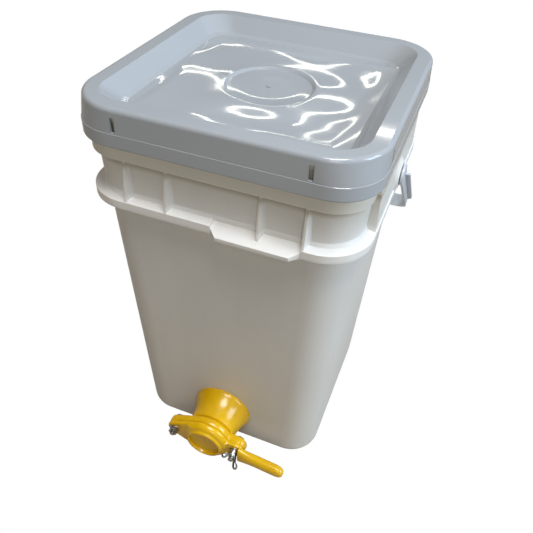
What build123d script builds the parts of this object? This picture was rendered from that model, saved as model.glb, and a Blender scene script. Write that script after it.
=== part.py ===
from build123d import *
import math
import os

os.makedirs("parts", exist_ok=True)

# Overall tub: a square pail with rounded corners, wider at the top, millimetres, +Z up, front at -Y.
base_half = 118.8
base_corner = 37.4
body_flare = 14.9
corner_flare = 1.8
body_height = 356.3
base_edge_round = 13.0
floor_round = 8.0
wall = 2.3
floor_thickness = 2.8

# Neck above the carrying ring, up to the rim bead that the lid covers.
neck_step = 1.05
neck_height = 100.3
neck_wall = 2.5
rim_bead_out = 3.3
rim_bead_corner = 6.3
rim_bead_height = 8.0
flange_out = 3.3
flange_corner_cut = 3.0
flange_drop = 49.3
flange_gap = 0.6
flange_round = 1.4

# Carrying ring round the body.
ring_out = 11.9
ring_corner_out = 8.2
ring_band = 8.9
ring_skin = 2.5
ring_rise = 2.8
ring_cove = 5.0

# Upright ribs on the front and the back of the neck.
rib_edge = 43.2
rib_inner_share = 0.52
rib_tip = 1.25
rib_root = 9.0
rib_sink = 1.2

# Grip tab on the front of the ring.
tab_left = 0.0
tab_side = 1.7
tab_out = 7.4
tab_lip_inset = 8.2
tab_drop = 5.7
tab_lip_height = 3.7
tab_slope = 20.0
tab_skin = 2.4

# Handle panels on both sides with the round ears for the bail pins.
panel_edge = 42.7
panel_top_out = 9.8
panel_low_out = 10.9
panel_gap = 1.2
panel_skin = 2.5
panel_pocket_y = 27.0
ear_rise = 21.7
ear_root_radius = 21.0
ear_radius = 14.0
ear_out = 14.1

# Bail: flat strap with a thin outward fin, moulded pins at both ends.
bail_pin_radius = 5.0
bail_pin_fit = 0.08
bail_pin_reach = 8.6
bail_gap = 1.0
bail_thickness = 2.6
bail_width = 16.0
bail_lid_room = 9.6
bail_wall_gap = 0.35
bail_corner = 20.0
bail_fin_out = 4.5
bail_fin_thickness = 2.2
bail_fin_edge = 1.8
bail_lug_radius = 11.0

# Lid: skirt that widens downwards, sloping recess, shallow ledge, floor and a round centre recess.
lid_cover = 8.4
lid_top_in = 0.9
lid_belt_corner = 6.7
lid_top_corner = 13.7
lid_rise = 6.48
lid_skirt_drop = 32.8
lid_belt_height = 15.0
lid_belt_step = 0.35
lid_thickness = 2.48
lid_edge_round = 4.2
lid_low_round = 2.4
lid_rim_width = 18.3
lid_inner_corner_cut = 8.8
lid_slope_width = 14.6
lid_slope_depth = 15.2
lid_ledge_width = 4.5
lid_floor_depth = 17.5
lid_disc_top = 47.0
lid_disc_bottom = 43.5
lid_disc_depth = 2.2
lid_nub_radius = 3.2
lid_nub_height = 0.8
lid_slot_edge = 46.9
lid_slot_width = 4.5
lid_slot_height = 14.5
lid_slot_drop = 8.6
lid_curl = 0.6
plug_gap = 1.05
plug_wall = 2.0
plug_depth = 12.0
gasket_inset = 0.7
gasket_width = 3.4

# Gate on the front wall, every length measured off the wall along its normal.
gate_z = 54.8
gate_bore = 19.0
gate_tail = 23.5
gate_hole_play = 0.5
gate_flange_radius = 37.5
gate_flange_edge = 2.4
gate_neck_radius = 29.9
gate_neck_at = 31.0
gate_disc_radius = 32.0
gate_plate_back = 37.0
gate_plate_face = 46.0
gate_pivot_x = -43.0
gate_pivot_lug = 9.5
gate_clamp_x = 38.5
gate_clamp_lug = 12.0
gate_seal = 2.0
gate_seal_radius = 32.0
lock_nut_height = 9.0
lock_nut_radius = 31.0
lock_nut_lug = 3.0
tail_beyond_nut = 4.0
thread_play = 0.05

# Paddle that swings over the gate's face.
paddle_plate = 5.5
paddle_radius = 31.6
dish_root_radius = 29.4
dish_rim_radius = 24.3
dish_rim_z = 60.0
dish_lip = 2.4
dish_floor_z = 54.6
slot_play = 0.6
handle_start_x = 46.5
handle_tip_x = 103.5
handle_height = 14.8
handle_back_z = 47.6
handle_front_z = 60.2
handle_round = 5.9
handle_tip_round = 6.6

# Screws, washers and nuts of the gate.
screw_radius = 3.0
screw_play = 0.05
screw_head_radius = 6.5
screw_head_height = 4.0
washer_radius = 6.6
washer_thickness = 1.2
hex_flats = 10.0
hex_height = 5.0
pivot_screw_tip = 60.0
clamp_screw_tip = 65.0
wing_hub_root = 6.2
wing_hub_top = 5.0
wing_hub_height = 8.0
wing_thickness = 2.6
wing_turn = 58.0

# Values worked out from the sizes above.
draft = math.degrees(math.atan(body_flare / body_height))
slope = body_flare / body_height
slope_cos = math.cos(math.radians(draft))
slope_sin = math.sin(math.radians(draft))
body_half = base_half + body_flare
body_corner = base_corner + corner_flare
neck_half = body_half + neck_step
neck_corner = body_corner
rim_z = body_height + neck_height
rim_half = neck_half + slope * neck_height
ring_half = body_half + ring_out
ring_corner = body_corner + ring_corner_out
ring_top_z = body_height + ring_band
floor_z = floor_thickness
flange_z = rim_z - flange_drop
flange_half = neck_half + slope * (flange_z - body_height) + flange_out
flange_corner = neck_corner - flange_corner_cut
rib_outer_x = body_half - rib_edge
rib_inner_x = rib_inner_share * rib_outer_x
tab_right = rib_outer_x - tab_side
tab_lip_z = ring_top_z - tab_drop
lid_half = rim_half + lid_cover
lid_top_half = lid_half - lid_top_in
lid_corner = neck_corner + lid_belt_corner
lid_top_z = rim_z + lid_rise
lid_skirt_z = rim_z - lid_skirt_drop
lid_under_z = lid_top_z - lid_thickness
lid_floor_z = lid_top_z - lid_floor_depth
lid_slope_z = lid_top_z - lid_slope_depth
lid_inner_half = lid_half - lid_rim_width
lid_inner_corner = neck_corner - lid_inner_corner_cut
lid_slope_half = lid_inner_half - lid_slope_width
lid_floor_half = lid_slope_half - lid_ledge_width
lid_slot_x = rim_half - lid_slot_edge
slope_run = lid_slope_width / lid_slope_depth
slope_offset = lid_thickness * math.hypot(1.0, slope_run)
plug_half = rim_half - neck_wall - plug_gap
plug_corner = neck_corner - neck_wall - plug_gap
gasket_in_half = rim_half - gasket_inset
panel_half_y = body_half - panel_edge
panel_top_x = body_half + panel_top_out
panel_low_x = body_half + panel_low_out
panel_top_z = lid_skirt_z - panel_gap
ear_z = body_height + ear_rise
ear_face_x = body_half + ear_out
strap_inner_x = ear_face_x + bail_gap
strap_outer_x = strap_inner_x + bail_thickness
bail_length = math.hypot(lid_half, lid_top_z - ear_z) + bail_lid_room
rest = math.radians(40.0)
for _ in range(60):
    touch_z = ear_z - bail_length * math.sin(rest) - bail_width / 2 * math.cos(rest)
    touch_y = base_half + slope * touch_z + bail_wall_gap
    rest = math.acos((touch_y + bail_width / 2 * math.sin(rest)) / bail_length)
bail_plane = Plane(origin=(0, 0, ear_z), x_dir=(1, 0, 0), z_dir=(0, math.sin(rest), math.cos(rest)))
gate_normal = (0, -slope_cos, -slope_sin)
gate_origin = (0, -(base_half + slope * gate_z), gate_z)
gate_plane = Plane(origin=gate_origin, x_dir=(1, 0, 0), z_dir=gate_normal)
gate_section = Plane(origin=gate_origin, x_dir=(1, 0, 0), z_dir=(0, slope_sin, -slope_cos))
gate_axis = Axis(gate_origin, gate_normal)
inside_face = -wall * slope_cos
seal_back = inside_face - gate_seal
nut_back = seal_back - lock_nut_height
tail_end = nut_back - tail_beyond_nut
paddle_front = gate_plate_face + paddle_plate
washer_front = paddle_front + washer_thickness
clamp_reach = gate_clamp_x - gate_pivot_x
lever_origin = gate_plane.from_local_coords(Vector(handle_start_x, 0, (handle_back_z + handle_front_z) / 2))
lever_plane = Plane(origin=lever_origin, x_dir=gate_plane.y_dir, z_dir=gate_plane.x_dir)

# Bucket: one moulding with wall, rim bead, flange, carrying ring, ribs, tab, panels and ears.
with BuildPart() as bucket:
    with BuildSketch(Plane.XY):
        RectangleRounded(2 * base_half, 2 * base_half, base_corner)
    with BuildSketch(Plane.XY.offset(body_height)):
        RectangleRounded(2 * body_half, 2 * body_half, body_corner)
    loft()
    fillet(bucket.faces().sort_by(Axis.Z)[0].edges(), base_edge_round)
    with BuildSketch(Plane.XY.offset(body_height)):
        RectangleRounded(2 * neck_half, 2 * neck_half, neck_corner)
    with BuildSketch(Plane.XY.offset(rim_z)):
        RectangleRounded(2 * rim_half, 2 * rim_half, neck_corner)
    loft()
    with BuildSketch(Plane.XY.offset(body_height)):
        RectangleRounded(2 * ring_half, 2 * ring_half, ring_corner)
    extrude(amount=ring_band)
    with BuildSketch(Plane.XY.offset(ring_top_z)):
        RectangleRounded(2 * ring_half, 2 * ring_half, ring_corner)
    with BuildSketch(Plane.XY.offset(ring_top_z + ring_rise)):
        RectangleRounded(2 * neck_half, 2 * neck_half, neck_corner)
    loft()
    with BuildSketch(Plane.XY.offset(ring_top_z + 0.5 * ring_rise)):
        RectangleRounded(2 * neck_half + ring_cove, 2 * neck_half + ring_cove, neck_corner)
    with BuildSketch(Plane.XY.offset(ring_top_z + ring_rise + ring_cove)):
        RectangleRounded(2 * neck_half, 2 * neck_half, neck_corner)
    loft()
    with BuildSketch(Plane.XY.offset(flange_z)):
        low_half = flange_half - flange_round / 2
        RectangleRounded(2 * low_half, 2 * low_half, flange_corner + flange_round)
    with BuildSketch(Plane.XY.offset(flange_z + flange_round)):
        RectangleRounded(2 * flange_half, 2 * flange_half, flange_corner)
    loft()
    with BuildSketch(Plane.XY.offset(flange_z + flange_round)):
        RectangleRounded(2 * flange_half, 2 * flange_half, flange_corner)
    extrude(amount=flange_drop - lid_skirt_drop - flange_gap - flange_round)
    bead_half = rim_half + rim_bead_out
    with BuildSketch(Plane.XY.offset(rim_z - rim_bead_height)):
        RectangleRounded(2 * bead_half, 2 * bead_half, neck_corner + rim_bead_corner)
    extrude(amount=rim_bead_height)
    fillet(bucket.faces().sort_by(Axis.Z)[-1].edges(), 2.0)
    # Grip tab: a sloping shelf that cuts the ring down and reaches out to a lip.
    tab_lip_y = ring_half + tab_out
    tab_rise = math.tan(math.radians(tab_slope))
    with BuildSketch(Plane.XY.offset(tab_lip_z - tab_lip_height)):
        with BuildLine():
            Polyline(
                (tab_left, -neck_half),
                (tab_left, -ring_half + 0.6),
                (tab_left + tab_lip_inset, -tab_lip_y),
                (tab_right - tab_lip_inset, -tab_lip_y),
                (tab_right, -ring_half + 0.6),
                (tab_right, -neck_half),
                close=True,
            )
        make_face()
    extrude(amount=ring_top_z + ring_rise - tab_lip_z + tab_lip_height)
    shelf_in = neck_half + 1.2
    with BuildSketch(Plane.YZ.offset(tab_left)):
        with BuildLine():
            Polyline(
                (-tab_lip_y - 5.0, tab_lip_z - 5.0 * tab_rise),
                (-shelf_in, tab_lip_z + (tab_lip_y - shelf_in) * tab_rise),
                (-shelf_in, ring_top_z + 8.0),
                (-tab_lip_y - 5.0, ring_top_z + 8.0),
                close=True,
            )
        make_face()
    extrude(amount=tab_right - tab_left, mode=Mode.SUBTRACT)
    # Upright ribs with hollow flanks, front and back.
    for side in (-1, 1):
        for x in (-rib_outer_x, -rib_inner_x, rib_inner_x, rib_outer_x):
            for z, tip in ((ring_top_z - 4.0, ring_half), (flange_z + 1.0, flange_half)):
                root = neck_half + slope * (z - body_height) - rib_sink
                deep = tip - root
                steps = ((1.0, 0.0), (0.62, 0.07), (0.4, 0.22), (0.24, 0.5), (rib_tip / rib_root, 1.0))
                left = [(x - a * rib_root, side * (root + b * deep)) for a, b in steps]
                right = [(x + a * rib_root, side * (root + b * deep)) for a, b in reversed(steps)]
                with BuildSketch(Plane.XY.offset(z)):
                    with BuildLine():
                        Polyline(*left, *right, close=True)
                    make_face()
            loft()
    # Handle panels and ears.
    for side in (-1, 1):
        with BuildSketch(Plane.XZ):
            with BuildLine():
                Polyline(
                    (side * (neck_half - 1.0), ring_top_z - 1.0),
                    (side * panel_low_x, ring_top_z - 1.0),
                    (side * panel_top_x, panel_top_z),
                    (side * (neck_half - 1.0), panel_top_z),
                    close=True,
                )
            make_face()
        extrude(amount=panel_half_y, both=True)
        with BuildSketch(Plane.YZ.offset(side * (panel_top_x - 1.0))):
            with Locations((0, ear_z)):
                Circle(ear_root_radius)
        with BuildSketch(Plane.YZ.offset(side * ear_face_x)):
            with Locations((0, ear_z)):
                Circle(ear_radius)
        loft()
    # Inside of the tub, the hollow of the ring, the panel pockets and the gate hole.
    for low, low_in, high, high_in in (
        (0.0, floor_round, 0.3 * floor_round, 0.3 * floor_round),
        (0.3 * floor_round, 0.3 * floor_round, floor_round, 0.0),
        (floor_round, 0.0, body_height + 1.0 - floor_z, 0.0),
    ):
        for lift, inset in ((low, low_in), (high, high_in)):
            half = base_half + slope * (floor_z + lift) - wall - inset
            with BuildSketch(Plane.XY.offset(floor_z + lift)):
                RectangleRounded(2 * half, 2 * half, base_corner - wall - inset)
        loft(mode=Mode.SUBTRACT)
    with BuildSketch(Plane.XY.offset(body_height + 1.0)):
        half = neck_half + slope - neck_wall
        RectangleRounded(2 * half, 2 * half, neck_corner - neck_wall)
    with BuildSketch(Plane.XY.offset(rim_z)):
        half = rim_half - neck_wall
        RectangleRounded(2 * half, 2 * half, neck_corner - neck_wall)
    loft(mode=Mode.SUBTRACT)
    with BuildSketch(Plane.XY.offset(body_height)):
        RectangleRounded(2 * (ring_half - ring_skin), 2 * (ring_half - ring_skin), ring_corner - ring_skin)
        RectangleRounded(2 * neck_half, 2 * neck_half, neck_corner, mode=Mode.SUBTRACT)
        with Locations(((tab_left + tab_right) / 2, -ring_half)):
            Rectangle(tab_right - tab_left, 4 * ring_skin + 14.0, mode=Mode.SUBTRACT)
    extrude(amount=ring_band - ring_skin, mode=Mode.SUBTRACT)
    under_in = neck_half + 0.4
    under_out = tab_lip_y - tab_skin
    with BuildSketch(Plane.YZ.offset(tab_left + tab_lip_inset + 1.0)):
        with BuildLine():
            Polyline(
                (-under_out, tab_lip_z - tab_lip_height - 1.0),
                (-under_out, tab_lip_z - tab_skin + tab_skin * tab_rise),
                (-under_in, tab_lip_z - tab_skin + (tab_lip_y - under_in) * tab_rise),
                (-under_in, tab_lip_z - tab_lip_height - 1.0),
                close=True,
            )
        make_face()
    extrude(amount=tab_right - tab_left - 2 * tab_lip_inset - 2.0, mode=Mode.SUBTRACT)
    for side in (-1, 1):
        pocket_in = neck_half + slope * (panel_top_z - body_height)
        pocket_out = panel_top_x - panel_skin
        for end in (-1, 1):
            span = panel_half_y - panel_skin - panel_pocket_y
            with BuildSketch(Plane.XY.offset(ring_top_z + ring_rise + ring_cove)):
                with Locations((side * (pocket_in + pocket_out) / 2, end * (panel_pocket_y + span / 2))):
                    Rectangle(pocket_out - pocket_in, span)
            extrude(amount=panel_top_z - ring_top_z, mode=Mode.SUBTRACT)
        with BuildSketch(Plane.YZ.offset(side * (ear_face_x - bail_pin_reach + bail_gap - 0.6))):
            with Locations((0, ear_z)):
                Circle(bail_pin_radius + bail_pin_fit)
        extrude(amount=side * (bail_pin_reach + 2.0), mode=Mode.SUBTRACT)
    with BuildSketch(gate_plane.offset(-10.0)):
        Circle(gate_tail + gate_hole_play)
    extrude(amount=20.0, mode=Mode.SUBTRACT)
bucket.part.label = "bucket"
export_step(bucket.part, "parts/bucket.step")

# Lid: skirt with belts and slots outside, sloping recess inside, plug skirt below the top.
with BuildPart() as lid:
    belt_z = lid_skirt_z + lid_belt_height
    belt_half = lid_half - lid_belt_step
    with BuildSketch(Plane.XY.offset(lid_skirt_z)):
        RectangleRounded(2 * lid_half, 2 * lid_half, lid_corner)
    extrude(amount=lid_belt_height - lid_belt_step)
    with BuildSketch(Plane.XY.offset(belt_z - lid_belt_step)):
        RectangleRounded(2 * lid_half, 2 * lid_half, lid_corner)
    with BuildSketch(Plane.XY.offset(belt_z)):
        RectangleRounded(2 * belt_half, 2 * belt_half, lid_corner)
    loft()
    with BuildSketch(Plane.XY.offset(belt_z)):
        RectangleRounded(2 * belt_half, 2 * belt_half, lid_corner)
    with BuildSketch(Plane.XY.offset(lid_top_z)):
        RectangleRounded(2 * lid_top_half, 2 * lid_top_half, neck_corner + lid_top_corner)
    loft()
    fillet(lid.faces().sort_by(Axis.Z)[-1].edges(), lid_edge_round)
    fillet(lid.faces().sort_by(Axis.Z)[0].edges(), lid_low_round)
    skirt_in = lid_top_half - lid_thickness
    with BuildSketch(Plane.XY.offset(lid_skirt_z + 3.0)):
        RectangleRounded(2 * skirt_in, 2 * skirt_in, lid_corner + 1.0)
    extrude(amount=lid_under_z - lid_skirt_z - 3.0, mode=Mode.SUBTRACT)
    with BuildSketch(Plane.XY.offset(lid_skirt_z)):
        RectangleRounded(2 * (skirt_in - lid_curl), 2 * (skirt_in - lid_curl), lid_corner + 0.6)
    extrude(amount=3.0, mode=Mode.SUBTRACT)
    # Underside of the recess, kept as a shell of even thickness.
    top_keep = lid_inner_half - lid_thickness * slope_run + slope_offset
    low_keep_z = lid_slope_z - 0.9 * lid_thickness
    low_keep = lid_slope_half + slope_offset - slope_run * 0.9 * lid_thickness
    under_floor_z = lid_floor_z - lid_thickness
    with BuildSketch(Plane.XY.offset(lid_under_z)):
        RectangleRounded(2 * top_keep, 2 * top_keep, lid_inner_corner)
    with BuildSketch(Plane.XY.offset(low_keep_z)):
        RectangleRounded(2 * low_keep, 2 * low_keep, lid_inner_corner - 3.0)
    loft()
    with BuildSketch(Plane.XY.offset(low_keep_z)):
        RectangleRounded(2 * low_keep, 2 * low_keep, lid_inner_corner - 3.0)
    with BuildSketch(Plane.XY.offset(under_floor_z)):
        RectangleRounded(2 * lid_floor_half, 2 * lid_floor_half, lid_inner_corner - 5.0)
    loft()
    with BuildSketch(Plane.XY.offset(under_floor_z - lid_disc_depth)):
        Circle(lid_disc_bottom + 1.6)
    extrude(amount=lid_disc_depth + 1.0)
    with BuildSketch(Plane.XY.offset(lid_under_z - plug_depth)):
        RectangleRounded(2 * plug_half, 2 * plug_half, plug_corner)
        plug_in = plug_half - plug_wall
        RectangleRounded(2 * plug_in, 2 * plug_in, plug_corner - plug_wall, mode=Mode.SUBTRACT)
    extrude(amount=plug_depth + 1.0)
    # Recess seen from above.
    with BuildSketch(Plane.XY.offset(lid_top_z)):
        RectangleRounded(2 * lid_inner_half, 2 * lid_inner_half, lid_inner_corner)
    with BuildSketch(Plane.XY.offset(lid_slope_z)):
        RectangleRounded(2 * lid_slope_half, 2 * lid_slope_half, lid_inner_corner - 4.0)
    loft(mode=Mode.SUBTRACT)
    with BuildSketch(Plane.XY.offset(lid_slope_z)):
        RectangleRounded(2 * lid_slope_half, 2 * lid_slope_half, lid_inner_corner - 4.0)
    with BuildSketch(Plane.XY.offset(lid_floor_z)):
        RectangleRounded(2 * lid_floor_half, 2 * lid_floor_half, lid_inner_corner - 6.0)
    loft(mode=Mode.SUBTRACT)
    with BuildSketch(Plane.XY.offset(lid_floor_z)):
        Circle(lid_disc_top)
    with BuildSketch(Plane.XY.offset(lid_floor_z - lid_disc_depth)):
        Circle(lid_disc_bottom)
    loft(mode=Mode.SUBTRACT)
    with BuildSketch(Plane.XY.offset(lid_floor_z - lid_disc_depth)):
        Circle(lid_nub_radius)
    extrude(amount=lid_nub_height)
    slot_tall = lid_slot_height
    slot_mid = lid_top_z - lid_slot_drop - slot_tall / 2
    for x in (-lid_slot_x, lid_slot_x):
        for side in (-1, 1):
            with Locations((x, side * lid_half, slot_mid)):
                Box(lid_slot_width, 3 * lid_thickness, slot_tall, mode=Mode.SUBTRACT)
            with Locations((side * lid_half, x, slot_mid)):
                Box(3 * lid_thickness, lid_slot_width, slot_tall, mode=Mode.SUBTRACT)
lid.part.label = "lid"
export_step(lid.part, "parts/lid.step")

# Lid gasket: a square-section ring between the rim and the underside of the lid.
with BuildPart() as lid_gasket:
    with BuildSketch(Plane.XY.offset(rim_z)):
        out_half = gasket_in_half + gasket_width
        RectangleRounded(2 * out_half, 2 * out_half, neck_corner + gasket_width - 1.0)
        RectangleRounded(2 * gasket_in_half, 2 * gasket_in_half, neck_corner - 1.0, mode=Mode.SUBTRACT)
    extrude(amount=lid_under_z - rim_z)
lid_gasket.part.label = "lid_gasket"
export_step(lid_gasket.part, "parts/lid_gasket.step")

# Bail handle: strap, outward fin, round lugs and moulded pins, drawn resting on the back wall.
with BuildPart() as bail_handle:
    with BuildSketch(bail_plane.offset(-bail_width / 2)):
        RectangleRounded(2 * strap_outer_x, 2 * (bail_length + bail_thickness), bail_corner)
        RectangleRounded(2 * strap_inner_x, 2 * bail_length, bail_corner - bail_thickness, mode=Mode.SUBTRACT)
        with Locations((0, -bail_length)):
            Rectangle(3 * strap_outer_x, 2 * bail_length, mode=Mode.SUBTRACT)
    extrude(amount=bail_width)
    fin_start = bail_lug_radius + 4.0
    with BuildSketch(bail_plane.offset(bail_width / 2 - bail_fin_edge - bail_fin_thickness)):
        fin_x = strap_outer_x + bail_fin_out
        fin_y = bail_length + bail_thickness + bail_fin_out
        RectangleRounded(2 * fin_x, 2 * fin_y, bail_corner + bail_fin_out)
        RectangleRounded(
            2 * strap_outer_x - 2.0,
            2 * (bail_length + bail_thickness) - 2.0,
            bail_corner - 1.0,
            mode=Mode.SUBTRACT,
        )
        with Locations((0, fin_start - bail_length)):
            Rectangle(3 * strap_outer_x, 2 * bail_length, mode=Mode.SUBTRACT)
    extrude(amount=bail_fin_thickness)
    for side in (-1, 1):
        with BuildSketch(Plane.YZ.offset(side * strap_inner_x)):
            with Locations((0, ear_z)):
                Circle(bail_lug_radius)
        extrude(amount=side * bail_thickness)
        with BuildSketch(Plane.YZ.offset(side * strap_inner_x)):
            with Locations((0, ear_z)):
                Circle(bail_pin_radius)
        extrude(amount=-side * bail_pin_reach)
bail_handle.part.label = "bail_handle"
export_step(bail_handle.part, "parts/bail_handle.step")

# Gate body: threaded tail through the wall, flange, concave flare and a face plate with two lugs.
with BuildPart() as gate_body:
    with BuildSketch(gate_section):
        with BuildLine():
            Polyline(
                (gate_neck_radius, gate_neck_at),
                (gate_disc_radius, gate_plate_back),
                (gate_disc_radius, gate_plate_face),
                (gate_bore, gate_plate_face),
                (gate_bore, tail_end),
                (gate_tail, tail_end),
                (gate_tail, 0),
                (gate_flange_radius, 0),
                (gate_flange_radius, gate_flange_edge),
            )
            ThreePointArc(
                (gate_flange_radius, gate_flange_edge),
                (
                    gate_neck_radius + 0.32 * (gate_flange_radius - gate_neck_radius),
                    gate_flange_edge + 0.38 * (gate_neck_at - gate_flange_edge),
                ),
                (gate_neck_radius, gate_neck_at),
            )
        make_face()
    revolve(axis=gate_axis)
    with BuildSketch(gate_plane.offset(gate_plate_back)):
        with Locations((gate_pivot_x, 0)):
            Circle(gate_pivot_lug)
        with Locations((gate_pivot_x / 2 - gate_bore / 2, 0)):
            Rectangle(-gate_pivot_x - gate_bore, 2 * gate_pivot_lug)
        with Locations((gate_clamp_x, 0)):
            Circle(gate_clamp_lug)
        with Locations((gate_clamp_x / 2 + gate_bore / 2, 0)):
            Rectangle(gate_clamp_x - gate_bore, 2 * gate_clamp_lug)
        Circle(gate_bore + 2.0, mode=Mode.SUBTRACT)
    extrude(amount=gate_plate_face - gate_plate_back)
    with BuildSketch(gate_plane.offset(gate_plate_back)):
        with Locations((gate_pivot_x, 0), (gate_clamp_x, 0)):
            Circle(screw_radius + screw_play)
    extrude(amount=gate_plate_face - gate_plate_back, mode=Mode.SUBTRACT)
gate_body.part.label = "gate_body"
export_step(gate_body.part, "parts/gate_body.step")

# Wall seal: flat ring between the inside of the wall and the lock nut.
with BuildPart() as gate_wall_seal:
    with BuildSketch(gate_plane.offset(inside_face)):
        Circle(gate_seal_radius)
        Circle(gate_tail + thread_play, mode=Mode.SUBTRACT)
    extrude(amount=-gate_seal)
gate_wall_seal.part.label = "gate_wall_seal"
export_step(gate_wall_seal.part, "parts/gate_wall_seal.step")

# Lock nut inside the tub with six grip lugs.
with BuildPart() as gate_lock_nut:
    with BuildSketch(gate_plane.offset(seal_back)):
        Circle(lock_nut_radius)
        with PolarLocations(lock_nut_radius, 6):
            Rectangle(2 * lock_nut_lug, 9.0)
        Circle(gate_tail + thread_play, mode=Mode.SUBTRACT)
    extrude(amount=-lock_nut_height)
gate_lock_nut.part.label = "gate_lock_nut"
export_step(gate_lock_nut.part, "parts/gate_lock_nut.step")

# Paddle: raised dish with a lip, pivot lug, hooked slot for the clamp screw and the lever.
with BuildPart() as gate_paddle:
    with BuildSketch(gate_section):
        with BuildLine():
            Polyline(
                (0, gate_plate_face),
                (paddle_radius, gate_plate_face),
                (paddle_radius, paddle_front - 2.0),
                (dish_root_radius, paddle_front),
            )
            ThreePointArc(
                (dish_root_radius, paddle_front),
                ((dish_root_radius + dish_rim_radius) / 2 + 0.5, (paddle_front + dish_rim_z) / 2),
                (dish_rim_radius, dish_rim_z),
            )
            Polyline(
                (dish_rim_radius, dish_rim_z),
                (dish_rim_radius - dish_lip, dish_rim_z),
                (dish_rim_radius - dish_lip - 0.8, dish_floor_z),
                (0, dish_floor_z),
                (0, gate_plate_face),
            )
        make_face()
    revolve(axis=gate_axis)
    with BuildSketch(gate_plane.offset(gate_plate_face)):
        with Locations((gate_pivot_x, 0)):
            Circle(gate_pivot_lug)
        with Locations((gate_pivot_x / 2, 0)):
            Rectangle(-gate_pivot_x, 2 * gate_pivot_lug)
        with Locations((gate_clamp_x, 0)):
            Circle(gate_clamp_lug)
        with Locations((gate_clamp_x / 2, 0)):
            Rectangle(gate_clamp_x, 2 * gate_clamp_lug)
    extrude(amount=paddle_plate)
    lever_deep = handle_front_z - handle_back_z
    lever_long = handle_tip_x - handle_start_x - handle_tip_round
    with BuildSketch(lever_plane):
        RectangleRounded(handle_height, lever_deep, handle_round)
    extrude(amount=lever_long)
    for along, share in ((0.0, 1.0), (0.5, 0.87), (0.84, 0.62), (1.0, 0.3)):
        with BuildSketch(lever_plane.offset(lever_long + along * handle_tip_round)):
            RectangleRounded(share * handle_height, share * lever_deep, share * handle_round)
    loft()
    with BuildSketch(gate_plane.offset(gate_plate_face)):
        with Locations((gate_pivot_x, 0)):
            Circle(screw_radius + screw_play)
    extrude(amount=paddle_plate, mode=Mode.SUBTRACT)
    with BuildSketch(gate_plane.offset(gate_plate_face)):
        half_slot = screw_radius + slot_play
        with Locations((gate_pivot_x, 0)):
            Circle(clamp_reach + half_slot)
            Circle(clamp_reach - half_slot, mode=Mode.SUBTRACT)
        with Locations((gate_clamp_x, -gate_clamp_lug)):
            Rectangle(4 * half_slot, 2 * gate_clamp_lug, mode=Mode.INTERSECT)
        with Locations((gate_clamp_x, 0)):
            Circle(half_slot)
    extrude(amount=paddle_plate, mode=Mode.SUBTRACT)
gate_paddle.part.label = "gate_paddle"
export_step(gate_paddle.part, "parts/gate_paddle.step")

# Pivot screw: domed head behind the lug, plain shank to its tip.
with BuildPart() as pivot_screw:
    with BuildSketch(gate_plane.offset(gate_plate_back)):
        with Locations((gate_pivot_x, 0)):
            Circle(screw_head_radius)
    extrude(amount=-screw_head_height)
    fillet(pivot_screw.faces().sort_by(Axis.Y)[-1].edges(), 2.2)
    with BuildSketch(gate_plane.offset(gate_plate_back)):
        with Locations((gate_pivot_x, 0)):
            Circle(screw_radius)
    extrude(amount=pivot_screw_tip - gate_plate_back)
pivot_screw.part.label = "pivot_screw"
export_step(pivot_screw.part, "parts/pivot_screw.step")

# Washer under the pivot nut.
with BuildPart() as pivot_washer:
    with BuildSketch(gate_plane.offset(paddle_front)):
        with Locations((gate_pivot_x, 0)):
            Circle(washer_radius)
            Circle(screw_radius + screw_play, mode=Mode.SUBTRACT)
    extrude(amount=washer_thickness)
pivot_washer.part.label = "pivot_washer"
export_step(pivot_washer.part, "parts/pivot_washer.step")

# Hex nut that holds the paddle on its pivot.
with BuildPart() as pivot_nut:
    with BuildSketch(gate_plane.offset(washer_front)):
        with Locations((gate_pivot_x, 0)):
            RegularPolygon(hex_flats / 2, 6, major_radius=False)
            Circle(screw_radius + screw_play, mode=Mode.SUBTRACT)
    extrude(amount=hex_height)
pivot_nut.part.label = "pivot_nut"
export_step(pivot_nut.part, "parts/pivot_nut.step")

# Clamp screw: the same head behind the other lug, a longer shank for the wing nut.
with BuildPart() as clamp_screw:
    with BuildSketch(gate_plane.offset(gate_plate_back)):
        with Locations((gate_clamp_x, 0)):
            Circle(screw_head_radius)
    extrude(amount=-screw_head_height)
    fillet(clamp_screw.faces().sort_by(Axis.Y)[-1].edges(), 2.2)
    with BuildSketch(gate_plane.offset(gate_plate_back)):
        with Locations((gate_clamp_x, 0)):
            Circle(screw_radius)
    extrude(amount=clamp_screw_tip - gate_plate_back)
clamp_screw.part.label = "clamp_screw"
export_step(clamp_screw.part, "parts/clamp_screw.step")

# Washer under the wing nut.
with BuildPart() as clamp_washer:
    with BuildSketch(gate_plane.offset(paddle_front)):
        with Locations((gate_clamp_x, 0)):
            Circle(washer_radius)
            Circle(screw_radius + screw_play, mode=Mode.SUBTRACT)
    extrude(amount=washer_thickness)
clamp_washer.part.label = "clamp_washer"
export_step(clamp_washer.part, "parts/clamp_washer.step")

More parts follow.
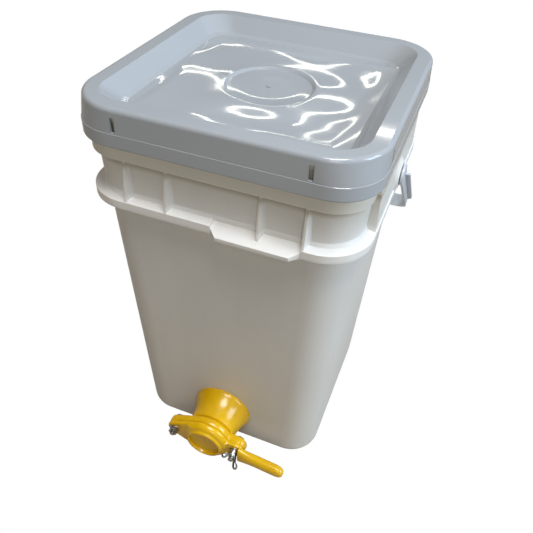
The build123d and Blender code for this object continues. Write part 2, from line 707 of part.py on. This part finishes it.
# Wing nut: tapered hub and two wings that rise forward and outward.
turn = math.radians(wing_turn)
wing_origin = gate_plane.from_local_coords(Vector(gate_clamp_x, 0, washer_front))
wing_dir = gate_plane.x_dir * math.cos(turn) + gate_plane.y_dir * math.sin(turn)
wing_plane = Plane(origin=wing_origin, x_dir=wing_dir, z_dir=wing_dir.cross(gate_plane.z_dir))
with BuildPart() as wing_nut:
    with BuildSketch(gate_plane.offset(washer_front)):
        with Locations((gate_clamp_x, 0)):
            Circle(wing_hub_root)
    with BuildSketch(gate_plane.offset(washer_front + wing_hub_height)):
        with Locations((gate_clamp_x, 0)):
            Circle(wing_hub_top)
    loft()
    for side in (-1, 1):
        with BuildSketch(wing_plane):
            with BuildLine():
                Polyline((side * 3.6, 2.4), (side * 6.4, 8.0), (side * 10.2, 9.6))
                Spline(
                    (side * 10.2, 9.6),
                    (side * 15.4, 11.6),
                    (side * 15.8, 15.6),
                    (side * 11.8, 16.6),
                    (side * 7.6, 13.2),
                )
                Polyline((side * 7.6, 13.2), (side * 3.6, 8.0), (side * 3.6, 2.4))
            make_face()
        extrude(amount=wing_thickness / 2, both=True)
    with BuildSketch(gate_plane.offset(washer_front)):
        with Locations((gate_clamp_x, 0)):
            Circle(screw_radius + screw_play)
    extrude(amount=20.0, mode=Mode.SUBTRACT)
wing_nut.part.label = "wing_nut"
export_step(wing_nut.part, "parts/wing_nut.step")
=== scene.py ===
import bpy
import bmesh
import math
from mathutils import Matrix, Vector


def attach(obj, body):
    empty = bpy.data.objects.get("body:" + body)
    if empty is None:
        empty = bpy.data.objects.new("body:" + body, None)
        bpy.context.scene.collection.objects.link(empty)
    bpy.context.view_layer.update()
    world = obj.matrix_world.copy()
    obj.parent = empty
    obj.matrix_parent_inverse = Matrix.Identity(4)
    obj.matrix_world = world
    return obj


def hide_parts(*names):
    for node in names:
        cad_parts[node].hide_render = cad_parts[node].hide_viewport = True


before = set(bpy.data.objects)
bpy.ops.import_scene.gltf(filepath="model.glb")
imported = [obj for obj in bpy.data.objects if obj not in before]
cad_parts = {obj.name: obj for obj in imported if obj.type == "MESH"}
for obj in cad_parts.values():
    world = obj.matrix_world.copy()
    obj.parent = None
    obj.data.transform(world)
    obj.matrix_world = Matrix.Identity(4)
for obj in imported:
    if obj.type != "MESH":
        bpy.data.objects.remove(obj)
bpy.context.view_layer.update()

# The view: looking down on the front from the right, as the bucket is seen in the photograph.
# The lens and the small shift come from the bucket's own edges.
yaw, pitch, roll = math.radians(-19.62), math.radians(40.14), math.radians(2.917)
forward = Vector((math.sin(yaw) * math.cos(pitch), math.cos(yaw) * math.cos(pitch), -math.sin(pitch)))
level = Vector((math.cos(yaw), -math.sin(yaw), 0.0))
upward = level.cross(forward)
eye_right = level * math.cos(roll) + upward * math.sin(roll)
eye_up = upward * math.cos(roll) - level * math.sin(roll)
eye = bpy.data.cameras.new("eye")
eye.sensor_width = 36.0
eye.lens = 39.71
eye.shift_x = 0.0017
eye.shift_y = -0.0144
eye_holder = bpy.data.objects.new("eye", eye)
turned = Matrix((eye_right, eye_up, -forward)).transposed().to_4x4()
eye_holder.matrix_world = Matrix.Translation((0.19636, -0.53722, 0.69583)) @ turned
bpy.context.scene.collection.objects.link(eye_holder)
bpy.context.scene.camera = eye_holder
bpy.context.scene.view_settings.view_transform = "Standard"

# The room: white to the camera, dim and tinted to everything else, so the gloss stays quiet.
# A cool window side lies on the right and a warm, darker side on the left.
# Soft lamps light the walls, and narrow ceiling tubes behind the bucket draw the bright lines on its lid.
room = bpy.data.worlds.new("room")
bpy.context.scene.world = room
room.use_nodes = True
air = room.node_tree
air.nodes.clear()
where = air.nodes.new("ShaderNodeTexCoord")
split = air.nodes.new("ShaderNodeSeparateXYZ")
air.links.new(where.outputs["Generated"], split.inputs[0])
across = air.nodes.new("ShaderNodeMapRange")
across.inputs["From Min"].default_value = -0.7
across.inputs["From Max"].default_value = 0.9
air.links.new(split.outputs["X"], across.inputs["Value"])
tint = air.nodes.new("ShaderNodeValToRGB")
warm_side, cool_side = tint.color_ramp.elements
warm_side.color = (0.30, 0.22, 0.13, 1.0)
cool_side.color = (0.62, 0.76, 1.0, 1.0)
air.links.new(across.outputs["Result"], tint.inputs["Fac"])
dim = air.nodes.new("ShaderNodeBackground")
dim.inputs["Strength"].default_value = 0.36
air.links.new(tint.outputs["Color"], dim.inputs["Color"])
white = air.nodes.new("ShaderNodeBackground")
white.inputs["Color"].default_value = (1.0, 1.0, 1.0, 1.0)
white.inputs["Strength"].default_value = 1.0
rays = air.nodes.new("ShaderNodeLightPath")
pick = air.nodes.new("ShaderNodeMixShader")
out = air.nodes.new("ShaderNodeOutputWorld")
air.links.new(rays.outputs["Is Camera Ray"], pick.inputs["Fac"])
air.links.new(dim.outputs[0], pick.inputs[1])
air.links.new(white.outputs[0], pick.inputs[2])
air.links.new(pick.outputs[0], out.inputs["Surface"])


def soft_lamp(name, place, aim, size, power, colour):
    lamp = bpy.data.lights.new(name, "AREA")
    lamp.shape = "RECTANGLE"
    lamp.size, lamp.size_y = size
    lamp.energy = power
    lamp.color = colour
    holder = bpy.data.objects.new(name, lamp)
    holder.location = place
    holder.rotation_euler = (Vector(aim) - Vector(place)).to_track_quat("-Z", "Y").to_euler()
    bpy.context.scene.collection.objects.link(holder)
    return holder


soft_lamp("window_lamp", (2.3, 0.1, 1.4), (0, 0, 0.3), (1.2, 1.2), 46, (0.66, 0.82, 1.0))
soft_lamp("front_lamp", (0.9, -2.3, 1.6), (0, 0, 0.2), (0.9, 0.8), 13, (1.0, 0.93, 0.82))
soft_lamp("ceiling_lamp", (0.5, -0.5, 2.6), (0, 0, 0.4), (1.0, 1.0), 54, (0.97, 0.98, 1.0))
for name, place, power, colour in (
    ("side_lamp", (-2.0, 0.9, 0.4), 16, (1.0, 0.95, 0.88)),
    ("back_lamp", (0.6, 2.2, 0.4), 12, (0.98, 0.98, 1.0)),
):
    soft_lamp(name, place, (0, 0, 0.25), (1.0, 0.5), power, colour).visible_glossy = False
tube_height, tube_width, tube_power, tube_colour = 2.3, 0.04, 3.0, (1.0, 0.99, 0.88)
for k, (x, y, long) in enumerate(((-0.9, 2.75, 1.5), (-0.35, 3.5, 1.3), (-1.5, 4.4, 2.0))):
    place, aim = (x, y, tube_height), (x, 0.4 * y, 0.4)
    soft_lamp("tube_lamp_%d" % k, place, aim, (long, tube_width), tube_power, tube_colour)

# The floor: a wide square that the camera sees as plain white.
# To all other light it is a dull beige, so that it sends little back up the walls.
floor_half = 6
floor_mesh = bpy.data.meshes.new("floor")
corners = [(x * floor_half, y * floor_half, 0) for x, y in ((-1, -1), (1, -1), (1, 1), (-1, 1))]
floor_mesh.from_pydata(corners, [], [(0, 1, 2, 3)])
floor = bpy.data.objects.new("floor", floor_mesh)
bpy.context.scene.collection.objects.link(floor)
floor_paint = bpy.data.materials.new("floor_white")
floor_paint.use_nodes = True
tree = floor_paint.node_tree
dull = tree.nodes["Principled BSDF"]
dull.inputs["Base Color"].default_value = (0.34, 0.30, 0.24, 1)
dull.inputs["Roughness"].default_value = 1.0
glow = tree.nodes.new("ShaderNodeEmission")
glow.inputs["Strength"].default_value = 1.0
seen = tree.nodes.new("ShaderNodeLightPath")
mixed = tree.nodes.new("ShaderNodeMixShader")
tree.links.new(seen.outputs["Is Camera Ray"], mixed.inputs["Fac"])
tree.links.new(dull.outputs[0], mixed.inputs[1])
tree.links.new(glow.outputs[0], mixed.inputs[2])
tree.links.new(mixed.outputs[0], tree.nodes["Material Output"].inputs["Surface"])
floor.data.materials.append(floor_paint)

# The bucket: one thick moulding of milky polyethylene, a little translucent and satin.
# Its skin has a fine grain, flow marks drawn out up the walls and a slow waviness.
# Its colour shifts with height: a painted highlight brightens the carrying ring and a painted shadow
# darkens the crease under the lid.


def lay_out(tree, kind, **values):
    """A node with its inputs set; an underscore stands for the space in an input's name."""
    node = tree.nodes.new(kind)
    for key, value in values.items():
        node.inputs[key.replace("_", " ")].default_value = value
    return node


def reckon(tree, operation, *terms):
    """The result of a maths node whose terms are numbers or the outputs of other nodes."""
    node = tree.nodes.new("ShaderNodeMath")
    node.operation = operation
    for socket, term in zip(node.inputs, terms):
        if isinstance(term, float):
            socket.default_value = term
        else:
            tree.links.new(term, socket)
    return node.outputs[0]


def place_on(tree):
    """The object's own coordinates, whole and split into three."""
    place = tree.nodes.new("ShaderNodeTexCoord").outputs["Object"]
    apart = tree.nodes.new("ShaderNodeSeparateXYZ")
    tree.links.new(place, apart.inputs[0])
    return place, apart.outputs


skin_inputs = ("Grain Size", "Flow Size", "Wave Size", "Flow Depth")
skin_sizes = (900.0, 18.0, 5.0, 0.3)


def moulding_group():
    """Plastic skin: fine grain, long flow marks and a slow waviness, as a colour mask and a height."""
    group = bpy.data.node_groups.new("moulded_skin", "ShaderNodeTree")
    for name, start in zip(skin_inputs, skin_sizes):
        socket = group.interface.new_socket(name, in_out="INPUT", socket_type="NodeSocketFloat")
        socket.default_value = start
    for name in ("Mottle", "Height"):
        group.interface.new_socket(name, in_out="OUTPUT", socket_type="NodeSocketFloat")
    into = group.nodes.new("NodeGroupInput")
    onto = group.nodes.new("NodeGroupOutput")
    coords = group.nodes.new("ShaderNodeTexCoord")
    drawn_up = lay_out(group, "ShaderNodeMapping", Scale=(1.0, 1.0, 0.12))
    group.links.new(coords.outputs["Object"], drawn_up.inputs["Vector"])
    noises = []
    for size, detail, source in (
        ("Grain Size", 2.0, coords.outputs["Object"]),
        ("Flow Size", 4.0, drawn_up.outputs[0]),
        ("Wave Size", 1.0, coords.outputs["Object"]),
    ):
        noise = lay_out(group, "ShaderNodeTexNoise", Detail=detail)
        group.links.new(source, noise.inputs["Vector"])
        group.links.new(into.outputs[size], noise.inputs["Scale"])
        noises.append(noise.outputs["Fac"])
    grain, flow, wave = noises
    grain_depth = 0.06
    deep = reckon(group, "MULTIPLY", flow, into.outputs["Flow Depth"])
    height = reckon(group, "ADD", reckon(group, "MULTIPLY_ADD", grain, grain_depth, deep), wave)
    mottle = reckon(group, "MULTIPLY_ADD", flow, 0.5, reckon(group, "MULTIPLY", wave, 0.5))
    group.links.new(mottle, onto.inputs["Mottle"])
    group.links.new(height, onto.inputs["Height"])
    return group


moulded_skin = moulding_group()


def plastic(name, light, dark, rough, bump, depth, milky=0.0, sizes=skin_sizes):
    """A material of the moulded skin: its two tones, range of roughness, relief and milkiness."""
    paint = bpy.data.materials.new(name)
    paint.use_nodes = True
    tree = paint.node_tree
    skin = tree.nodes["Principled BSDF"]
    skin.inputs["IOR"].default_value = 1.5
    skin.inputs["Subsurface Weight"].default_value = milky
    skin.inputs["Subsurface Radius"].default_value = (0.010, 0.009, 0.007)
    skin.inputs["Subsurface Scale"].default_value = 0.5
    marks = tree.nodes.new("ShaderNodeGroup")
    marks.node_tree = moulded_skin
    for key, value in zip(skin_inputs, sizes):
        marks.inputs[key].default_value = value
    ramp = tree.nodes.new("ShaderNodeValToRGB")
    for stop, position, colour in zip(ramp.color_ramp.elements, (0.3, 0.7), (dark, light)):
        stop.position = position
        stop.color = (*colour, 1)
    tree.links.new(marks.outputs["Mottle"], ramp.inputs["Fac"])
    tree.links.new(ramp.outputs["Color"], skin.inputs["Base Color"])
    span = lay_out(tree, "ShaderNodeMapRange", To_Min=rough[0], To_Max=rough[1])
    tree.links.new(marks.outputs["Mottle"], span.inputs["Value"])
    tree.links.new(span.outputs["Result"], skin.inputs["Roughness"])
    relief = lay_out(tree, "ShaderNodeBump", Strength=bump, Distance=depth)
    tree.links.new(marks.outputs["Height"], relief.inputs["Height"])
    tree.links.new(relief.outputs["Normal"], skin.inputs["Normal"])
    return paint


def dress(node, paint):
    """Give a piece of the frame its material."""
    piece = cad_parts[node]
    if not piece.material_slots:
        piece.data.materials.append(paint)
    for place in piece.material_slots:
        place.material = paint


bucket_plastic = plastic(
    "bucket_polyethylene", (0.65, 0.635, 0.60), (0.59, 0.575, 0.54), (0.30, 0.44), 0.25, 0.0004, milky=0.2
)
tree = bucket_plastic.node_tree
_, parts = place_on(tree)
bucket_top = 0.46
lift = lay_out(tree, "ShaderNodeMapRange", From_Max=bucket_top)
tree.links.new(parts["Z"], lift.inputs["Value"])
height_tint_and_painted_light = tree.nodes.new("ShaderNodeValToRGB")
foot, top = height_tint_and_painted_light.color_ramp.elements
foot.color = (0.96, 0.94, 0.90, 1)
top.color = (1.0, 0.98, 0.92, 1)
# Painted highlight on the top of the carrying ring (shares 0.775 to 0.81) and painted shadow in the crease
# under the flange (0.868 to 0.8865); the ends shift slightly from foot to top.
for share, colour in (
    (0.775, (1.0, 1.0, 1.0, 1)),
    (0.782, (1.16, 1.17, 1.18, 1)),
    (0.803, (1.16, 1.17, 1.18, 1)),
    (0.81, (1.0, 1.0, 1.0, 1)),
    (0.868, (1.0, 0.99, 0.96, 1)),
    (0.882, (0.60, 0.55, 0.46, 1)),
    (0.8865, (1.0, 0.99, 0.93, 1)),
):
    height_tint_and_painted_light.color_ramp.elements.new(share).color = colour
tree.links.new(lift.outputs["Result"], height_tint_and_painted_light.inputs["Fac"])
# The height bands, with their painted highlight and painted shadow, multiply the skin's mottled colour.
tone_and_painted_light = tree.nodes.new("ShaderNodeMix")
tone_and_painted_light.data_type = "RGBA"
tone_and_painted_light.blend_type = "MULTIPLY"
tone_and_painted_light.inputs["Factor"].default_value = 1.0
base = tree.nodes["Principled BSDF"].inputs["Base Color"]
tree.links.new(base.links[0].from_socket, tone_and_painted_light.inputs["A"])
tree.links.new(height_tint_and_painted_light.outputs["Color"], tone_and_painted_light.inputs["B"])
tree.links.new(tone_and_painted_light.outputs["Result"], base)
dress("bucket", bucket_plastic)

# The lid: the same polymer in a blue-grey tone, polished on top, with a rubber ring under its border.
# Its wide floor is slack: slow waves fill it, die away up the sloping sides and are weak on the
# centre disc, which is stiffer.
lid_plastic = plastic(
    "lid_polymer", (0.35, 0.37, 0.385), (0.32, 0.34, 0.355), (0.035, 0.075), 1.0, 0.014,
    sizes=(900.0, 6.0, 10.0, 0.0),
)
tree = lid_plastic.node_tree
place, parts = place_on(tree)


def blend_between(value, near, far, start, end):
    """A smooth change from one value to another as a distance goes from near to far."""
    change = lay_out(tree, "ShaderNodeMapRange", From_Min=near, From_Max=far, To_Min=start, To_Max=end)
    change.interpolation_type = "SMOOTHSTEP"
    tree.links.new(value, change.inputs["Value"])
    return change.outputs["Result"]


floor_edge, slope_top, slope_waves = 0.090, 0.113, 0.03
disc_flat, disc_end, disc_waves = 0.024, 0.052, 0.25
from_centre = [reckon(tree, "ABSOLUTE", parts[axis]) for axis in ("X", "Y")]
slack = blend_between(reckon(tree, "MAXIMUM", *from_centre), floor_edge, slope_top, 1.0, slope_waves)
x_squared = reckon(tree, "MULTIPLY", parts["X"], parts["X"])
radius_squared = reckon(tree, "MULTIPLY_ADD", parts["Y"], parts["Y"], x_squared)
off_disc = blend_between(radius_squared, disc_flat ** 2, disc_end ** 2, disc_waves, 1.0)
swell = lay_out(tree, "ShaderNodeTexNoise", Scale=7.6, Detail=0.6)
tree.links.new(place, swell.inputs["Vector"])
waves = reckon(tree, "MULTIPLY", reckon(tree, "SUBTRACT", swell.outputs["Fac"], 0.5), slack)
relief = [node for node in tree.nodes if node.type == "BUMP"][0]
tree.links.new(reckon(tree, "MULTIPLY", waves, off_disc), relief.inputs["Height"])
dress("lid", lid_plastic)
seal_rubber = plastic("seal_rubber", (0.05, 0.05, 0.05), (0.03, 0.03, 0.03), (0.55, 0.75), 0.3, 0.0003)
dress("lid_gasket", seal_rubber)

# The bail: a stiff moulded strap, cool white and satin.
# Its grain is that of the bucket, but it lets no light through.
bail_plastic = plastic("bail_polymer", (0.50, 0.54, 0.58), (0.45, 0.49, 0.53), (0.28, 0.42), 0.3, 0.0003)
dress("bail_handle", bail_plastic)

# The gate: its body, ring nut and paddle are of yellow glossy nylon, with a rubber seal in the wall.
# The pieces drawn here use the gate's own frame in millimetres: x along the wall, y up it, z out of it.
# The body is a thread, a wall flange, a concave flare and a face plate whose edge joins disc and lugs.
dress("gate_wall_seal", seal_rubber)
gate_nylon = plastic(
    "gate_nylon", (0.70, 0.42, 0.003), (0.60, 0.33, 0.002), (0.16, 0.26), 0.3, 0.0006,
    milky=0.06, sizes=(1400.0, 60.0, 40.0, 0.3),
)
dress("gate_lock_nut", gate_nylon)
wall_taper, wall_height = 14.9, 356.3
wall_foot, gate_up = 0.1188, 0.0548
lean = math.atan(wall_taper / wall_height)
wall_axis = Vector((0, -math.cos(lean), -math.sin(lean)))
wall_up = Vector((0, -math.sin(lean), math.cos(lean)))
wall_spot = Vector((0, -(wall_foot + math.tan(lean) * gate_up), gate_up))
disc = 29.6
pivot_at, pivot_lug = -43.0, 10.0
clamp_at, clamp_lug = 38.5, 11.6
arm_half, arm_fan, arm_least = 9.6, 0.55, 0.05
edge_passes = 3
screw_hole = 3.05
bore = 19
thread = 23.5
tail = -17.3
flange = 37.5
plate_back = 35.2
plate_face = 46.0
gate_steps = 240
rod_steps = 48


def turns(steps):
    return [2 * math.pi * k / steps for k in range(steps)]


def gate_point(x, y, z):
    return wall_spot + (Vector((x, 0, 0)) + wall_up * y + wall_axis * z) * 0.001


def ray_to_circle(turn, centre, radius):
    """How far a ray from the gate's axis goes to leave a circle whose centre lies at x = centre."""
    along = centre * math.cos(turn)
    square = along * along - centre * centre + radius * radius
    return along + math.sqrt(square) if square > 0 and along > 0 else 0.0


def gate_outline():
    """Distance from the gate's axis to the plate's edge: disc, lugs and the arms between them."""
    reach = []
    shed = (disc - pivot_lug) / abs(pivot_at)
    for turn in turns(gate_steps):
        far = max(disc, ray_to_circle(turn, pivot_at, pivot_lug), ray_to_circle(turn, clamp_at, clamp_lug))
        x, y = math.cos(turn), abs(math.sin(turn))
        if x < 0:
            edge = -x * shed + y * math.sqrt(1 - shed * shed)
            tangent = disc / edge if edge > 0 else 0.0
            if disc * shed <= tangent * -x <= abs(pivot_at) + pivot_lug * shed:
                far = max(far, tangent)
        elif y < arm_fan * x:
            arm = arm_half / max(y, arm_least)
            if arm * x < clamp_at:
                far = max(far, arm)
        reach.append(far)
    for _ in range(edge_passes):
        reach = [(reach[k - 1] + 2 * reach[k] + reach[(k + 1) % gate_steps]) / 4 for k in range(gate_steps)]
    return reach


plate_reach = gate_outline()


def round_rings(rows):
    """Rings about the gate's axis, from pairs of radius and z."""
    return [[gate_point(r * math.cos(t), r * math.sin(t), z) for t in turns(gate_steps)] for r, z in rows]


def plate_rings(rows):
    """Rings along the plate's edge, from pairs of z and how far inside the edge they run."""
    rings = []
    for z, inset in rows:
        polar = [(reach - inset, turn) for reach, turn in zip(plate_reach, turns(gate_steps))]
        rings.append([gate_point(out * math.cos(turn), out * math.sin(turn), z) for out, turn in polar])
    return rings


def skin_rings(name, rings, closed=False):
    """An object from rings of points: a closed tube, or a solid with a flat face on each end."""
    mesh = bmesh.new()
    rows = [[mesh.verts.new(p) for p in ring] for ring in rings]
    pairs = list(zip(rows, rows[1:])) + ([(rows[-1], rows[0])] if closed else [])
    for low, high in pairs:
        for k in range(len(low)):
            m = (k + 1) % len(low)
            mesh.faces.new((low[k], low[m], high[m], high[k]))
    if not closed:
        mesh.faces.new(rows[0][::-1])
        mesh.faces.new(rows[-1])
    bmesh.ops.recalc_face_normals(mesh, faces=mesh.faces)
    data = bpy.data.meshes.new(name)
    mesh.to_mesh(data)
    mesh.free()
    piece = bpy.data.objects.new(name, data)
    bpy.context.scene.collection.objects.link(piece)
    return piece


def settle(piece, tools, paint, angle=38):
    """Join or cut with the tools, apply, drop the tools, smooth by angle and paint."""
    bpy.context.view_layer.objects.active = piece
    for tool, how in tools:
        change = piece.modifiers.new("join", "BOOLEAN")
        change.operation = how
        change.solver = "EXACT"
        change.object = tool
        bpy.context.view_layer.update()
        solid = bpy.data.meshes.new_from_object(piece.evaluated_get(bpy.context.evaluated_depsgraph_get()))
        piece.modifiers.clear()
        piece.data = solid
        bpy.data.objects.remove(tool)
    piece.data.materials.clear()
    piece.data.materials.append(paint)
    piece.data.shade_smooth()
    piece.data.set_sharp_from_angle(angle=math.radians(angle))


def rod_rings(x, rows):
    """Rings about an axis that stands at x, from pairs of radius and z."""
    rings = []
    for radius, z in rows:
        circle = [(radius * math.cos(turn), radius * math.sin(turn)) for turn in turns(rod_steps)]
        rings.append([gate_point(x + u, v, z) for u, v in circle])
    return rings


flare_foot, flare_long, flare_in, flare_bend, flare_parts = 2.4, 29.6, 7.9, 2.1, 10
flare = []
for k in range(flare_parts + 1):
    share = k / flare_parts
    flare.append((flange - flare_in * (1 - (1 - share) ** flare_bend), flare_foot + flare_long * share))
body_rings = round_rings(((bore, tail), (thread, tail), (thread, 0)))
body_rings += round_rings(((37.3, 0), (flange, 0.9), (37.45, 1.9)))
body_rings += round_rings(flare)
body_rings += round_rings(((29.4, plate_back),))
body_rings += plate_rings(((36.6, 3.0), (37.0, 1.9), (37.7, 0.8), (39.0, 0.1), (40.5, 0.0), (44.8, 0.3)))
body_rings += plate_rings(((45.6, 0.8), (plate_face, 1.8)))
body_rings += round_rings(((bore, plate_face),))
gate_body = skin_rings("gate_body_moulding", body_rings, closed=True)
hole_ends = ((screw_hole, 30), (screw_hole, 50))
holes = [skin_rings("hole", rod_rings(x, hole_ends)) for x in (pivot_at, clamp_at)]
settle(gate_body, [(hole, "DIFFERENCE") for hole in holes], gate_nylon)
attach(gate_body, "tub")
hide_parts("gate_body")

# The paddle: a round-shouldered plate with a raised dish lip, two lugs, a hooked slot and the lever.
# The lever grows out of the clamp lug, leans forward a little and ends in a full round.
# Each edge table pairs the way in from the plate's edge with z; the lugs are flatter than the disc.
disc_edge = ((0.0, 48.2), (0.1, 49.4), (0.4, 50.6), (0.8, 51.6), (1.4, 52.6), (2.4, 53.7), (3.4, 54.4))
lug_edge = ((0.0, 48.2), (0.1, 49.4), (0.7, 50.7), (1.9, 51.4))
lug_top = ((30.4, 51.5), (28.6, 52.2), (27.0, 53.7))
dish = ((25.4, 54.9), (24.0, 55.2), (23.2, 56.0), (22.9, 57.4), (22.3, 58.3), (21.2, 58.7), (20.1, 58.4))
dish += ((19.5, 57.4), (19.0, 54.4), (18.2, 53.9), (0.02, 53.9))
lug_blend = 5.0
paddle_rings = round_rings(((0.02, plate_face),))
paddle_rings += plate_rings(((plate_face, 1.8), (46.4, 0.8), (47.0, 0.3)))
for step, (disc_in, disc_z) in enumerate(disc_edge):
    ring = []
    for edge, turn in zip(plate_reach, turns(gate_steps)):
        if step < len(lug_edge):
            lug_out, lug_z = edge - lug_edge[step][0], lug_edge[step][1]
        else:
            lug_out, lug_z = lug_top[step - len(lug_edge)]
        disc_out = edge - disc_in
        far = min(max((edge - disc) / lug_blend, 0.0), 1.0)
        far = far * far * (3 - 2 * far)
        out = disc_out + (lug_out - disc_out) * far
        z = disc_z + (lug_z - disc_z) * far
        ring.append(gate_point(out * math.cos(turn), out * math.sin(turn), z))
    paddle_rings.append(ring)
paddle_rings += round_rings(dish)
gate_paddle = skin_rings("gate_paddle_moulding", paddle_rings)

# The lever's table: way along it, its height up the wall and its depth out of the wall.
lever_steps = ((0.0, 25.0, 10.6), (3.0, 23.6, 11.2), (8.0, 20.4, 11.8), (14.0, 17.6, 12.2))
lever_steps += ((22.0, 16.2, 12.4), (48.0, 16.0, 12.4), (51.5, 15.5, 12.1), (54.4, 14.0, 11.3))
lever_steps += ((56.6, 11.6, 9.8), (58.0, 8.4, 7.6), (58.8, 4.4, 4.2), (59.0, 1.4, 1.4))
lever_root, lever_mid, lever_lean = 44.9, 52.9, 0.066
lever_back = 46.6
neck_drop, neck_long = 1.6, 22
roundness = 0.88


def eased(value):
    return math.copysign(abs(value) ** roundness, value)


lever_rings = []
for along, tall, deep in lever_steps:
    middle = lever_mid + lever_lean * along
    drop = neck_drop * max(0.0, 1 - along / neck_long)
    ring = []
    for turn in turns(rod_steps):
        y = tall / 2 * eased(math.cos(turn)) - drop
        z = max(middle + deep / 2 * eased(math.sin(turn)), lever_back)
        ring.append(gate_point(lever_root + along, y, z))
    lever_rings.append(ring)
lever = skin_rings("lever", lever_rings)
slot_half, slot_sweep, slot_parts = 3.6, 0.34, 12
slot_low, slot_high = 44.0, 51.9
sweep = [-slot_sweep * k / slot_parts for k in range(slot_parts + 1)]
slot_path = []
for side, way in ((1, sweep), (-1, sweep[::-1])):
    r = clamp_at - pivot_at + side * slot_half
    slot_path += [(pivot_at + r * math.cos(turn), r * math.sin(turn)) for turn in way]
slot = skin_rings("slot", [[gate_point(x, y, z) for x, y in slot_path] for z in (slot_low, slot_high)])
slot_end = skin_rings("slot_end", rod_rings(clamp_at, ((slot_half, slot_low), (slot_half, slot_high))))
pin_hole = skin_rings("pin_hole", rod_rings(pivot_at, ((screw_hole, 40), (screw_hole, 70))))
tools = [(lever, "UNION"), (pin_hole, "DIFFERENCE"), (slot, "DIFFERENCE"), (slot_end, "DIFFERENCE")]
settle(gate_paddle, tools, gate_nylon)
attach(gate_paddle, "paddle")
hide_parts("gate_paddle")

# The hardware: bright plated steel screws, washers and nuts.
# The wing nut has a short tapered hub, bored for its screw, and two flat ears that rise outward from it.
steel = plastic(
    "bright_plate", (0.50, 0.49, 0.47), (0.30, 0.29, 0.28), (0.20, 0.38), 0.3, 0.0002,
    sizes=(2500.0, 300.0, 90.0, 0.4),
)
steel.node_tree.nodes["Principled BSDF"].inputs["Metallic"].default_value = 1.0
for node in ("pivot_screw", "pivot_washer", "pivot_nut", "clamp_screw", "clamp_washer"):
    dress(node, steel)
hub = ((5.4, 52.7), (6.0, 53.3), (5.9, 54.6), (4.9, 57.6), (4.5, 60.2), (3.9, 60.9), (3.2, 61.0))
hub += ((3.1, 60.0), (screw_hole, 52.7))
wing_nut = skin_rings("wing_nut_casting", rod_rings(clamp_at, hub), closed=True)
wing_turn = math.radians(-52.7)
ear_line = ((3.7, 54.2), (5.6, 56.6), (7.2, 60.6), (9.0, 62.6), (11.6, 62.9), (13.8, 64.2), (14.6, 66.4))
ear_line += ((13.9, 68.4), (12.0, 69.2), (9.7, 68.6), (8.1, 66.6), (6.6, 63.2), (4.8, 60.4), (3.7, 59.6))
ear_middle = (8.6, 62.4)
ear_slices = ((-2.2, 0.78), (-1.8, 0.93), (-1.0, 1.0), (1.0, 1.0), (1.8, 0.93), (2.2, 0.78))
ear_root = 4.0
ears = []
for side in (-1, 1):
    rings = []
    for across, shrink in ear_slices:
        ring = []
        for r, z in ear_line:
            keep = shrink if r > ear_root else 1.0
            u = ear_middle[0] + (r - ear_middle[0]) * keep
            w = ear_middle[1] + (z - ear_middle[1]) * keep
            x = side * u * math.cos(wing_turn) - across * math.sin(wing_turn)
            y = side * u * math.sin(wing_turn) + across * math.cos(wing_turn)
            ring.append(gate_point(clamp_at + x, y, w))
        rings.append(ring)
    ears.append(skin_rings("ear", rings))
settle(wing_nut, [(ear, "UNION") for ear in ears], steel, angle=45)
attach(wing_nut, "wing")
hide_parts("wing_nut")
